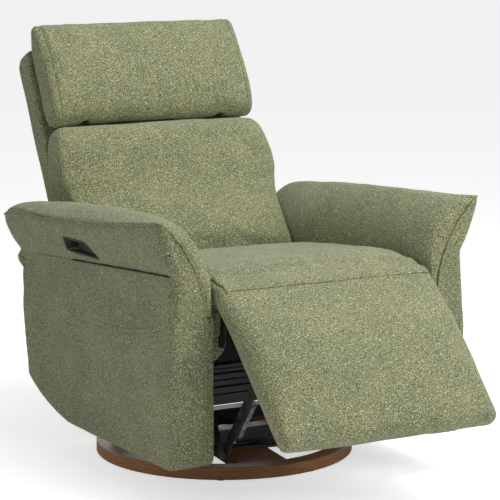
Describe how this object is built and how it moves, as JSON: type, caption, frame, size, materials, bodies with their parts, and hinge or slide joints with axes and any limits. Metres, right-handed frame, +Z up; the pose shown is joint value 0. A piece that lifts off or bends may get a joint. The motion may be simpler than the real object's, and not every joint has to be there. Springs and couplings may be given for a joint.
{
  "type": "swivel glider recliner chair",
  "caption": "Upholstered recliner on a wooden swivel ring, with glider links, folding footrest, reclining back, flared arms and a side pocket.",
  "frame": {"origin": "on the swivel axis at floor level, under the floor pads", "axes": "+Z up, the chair faces -Y, +X towards the arm on the viewer's right; left in a node name is -X; stored with the footrest half open and the back a little reclined"},
  "size_m": [0.84, 1.3018, 1.0089],
  "materials": {
    "fabric": "tweed, moss green with light and dark flecks",
    "base_wood": "brown stained, satin",
    "frame_wood": "plain birch, unfinished",
    "black_steel": "black, satin",
    "bright_steel": "zinc plated",
    "rubber": "matt",
    "black_cloth": "non-woven, matt",
    "dark_plastic": "matt"
  },
  "bodies": {
    "base": {"base_ring": "base_wood", "floor_pads": "rubber", "cross_plank_lower": "base_wood", "cross_plank_upper": "base_wood", "swivel_lower_plate": "black_steel", "swivel_balls": "bright_steel", "swivel_bolt": "bright_steel"},
    "turntable": {"swivel_upper_plate": "black_steel", "base_rail_front": "black_steel", "base_rail_rear": "black_steel", "glide_post_front_left": "black_steel", "glide_post_front_right": "black_steel", "glide_post_rear_left": "black_steel", "glide_post_rear_right": "black_steel"},
    "glide_front": {"glide_link_front_left": "black_steel", "glide_link_front_right": "black_steel"},
    "glide_rear": {"glide_link_rear_left": "black_steel", "glide_link_rear_right": "black_steel"},
    "seat": {"side_plate_left": "black_steel", "side_plate_right": "black_steel", "cross_tube_front": "black_steel", "cross_tube_rear": "black_steel", "seat_rail_left": "frame_wood", "seat_rail_right": "frame_wood", "seat_rail_front": "frame_wood", "seat_rail_rear": "frame_wood", "dust_board": "black_cloth", "seat_springs": "bright_steel", "seat_cushion": "fabric", "arm_cover_left": "fabric", "arm_cover_right": "fabric", "arm_pad_left": "fabric", "arm_pad_right": "fabric", "arm_board_left": "frame_wood", "arm_board_right": "frame_wood", "side_pocket": "fabric", "handle_cup": "dark_plastic", "seat_pins": "bright_steel", "seat_bolts": "bright_steel"},
    "release_handle": {"release_paddle": "dark_plastic"},
    "footrest": {"footrest_pad": "fabric", "footrest_board": "frame_wood", "footrest_bracket_left": "black_steel", "footrest_bracket_right": "black_steel"},
    "swing_links": {"swing_link_left": "black_steel", "swing_link_right": "black_steel", "drive_tube": "black_steel"},
    "lift_links": {"lift_link_left": "black_steel", "lift_link_right": "black_steel", "lift_spring_left": "bright_steel", "lift_spring_right": "bright_steel"},
    "backrest": {"back_shell": "fabric", "back_frame": "frame_wood", "back_bracket_left": "black_steel", "back_bracket_right": "black_steel", "headrest_arms": "black_steel", "lumbar_cushion": "fabric"},
    "headrest": {"headrest_pad": "fabric", "headrest_leaves": "black_steel"}
  },
  "joints": [
    {"name": "swivel", "type": "hinge", "parent": "base", "child": "turntable", "pos_m": [0, 0, 0.038], "axis": [0, 0, 1], "continuous": true},
    {"name": "glide", "type": "hinge", "parent": "turntable", "child": "glide_front", "pos_m": [0, -0.14, 0.262], "axis": [1, 0, 0], "range_deg": [-18, 18]},
    {"name": "glide_seat", "type": "hinge", "parent": "glide_front", "child": "seat", "pos_m": [0, -0.14, 0.15], "axis": [1, 0, 0], "range_deg": [-18.5, 18.5]},
    {"name": "glide_rear_link", "type": "hinge", "parent": "turntable", "child": "glide_rear", "pos_m": [0, 0.14, 0.262], "axis": [1, 0, 0], "range_deg": [-18.5, 18.5]},
    {"name": "footrest_open", "type": "hinge", "parent": "seat", "child": "footrest", "pos_m": [0, -0.462, 0.462], "axis": [-1, 0, 0], "range_deg": [-45, 45]},
    {"name": "footrest_swing", "type": "hinge", "parent": "seat", "child": "swing_links", "pos_m": [0, -0.33, 0.29], "axis": [-1, 0, 0], "range_deg": [-45.5, 45.5]},
    {"name": "footrest_lift", "type": "hinge", "parent": "swing_links", "child": "lift_links", "pos_m": [0, -0.43748, 0.11464], "axis": [-1, 0, 0], "range_deg": [-45.5, 45.5]},
    {"name": "recline", "type": "hinge", "parent": "seat", "child": "backrest", "pos_m": [0, 0.19, 0.385], "axis": [-1, 0, 0], "range_deg": [-10, 22]},
    {"name": "headrest_tilt", "type": "hinge", "parent": "backrest", "child": "headrest", "pos_m": [0, 0.38248, 0.80502], "axis": [1, 0, 0], "range_deg": [0, 25]},
    {"name": "release", "type": "hinge", "parent": "seat", "child": "release_handle", "pos_m": [-0.3665, -0.035, 0.5405], "axis": [0, 1, 0], "range_deg": [0, 22], "stiffness_Nm_per_rad": 0.4, "springref_deg": -5.73}
  ],
  "couplings": [
    {"joint": "glide_seat", "follows": "glide", "ratio": -1},
    {"joint": "glide_rear_link", "follows": "glide", "ratio": 1},
    {"joint": "footrest_swing", "follows": "footrest_open", "ratio": 1},
    {"joint": "footrest_lift", "follows": "footrest_open", "ratio": -1}
  ]
}
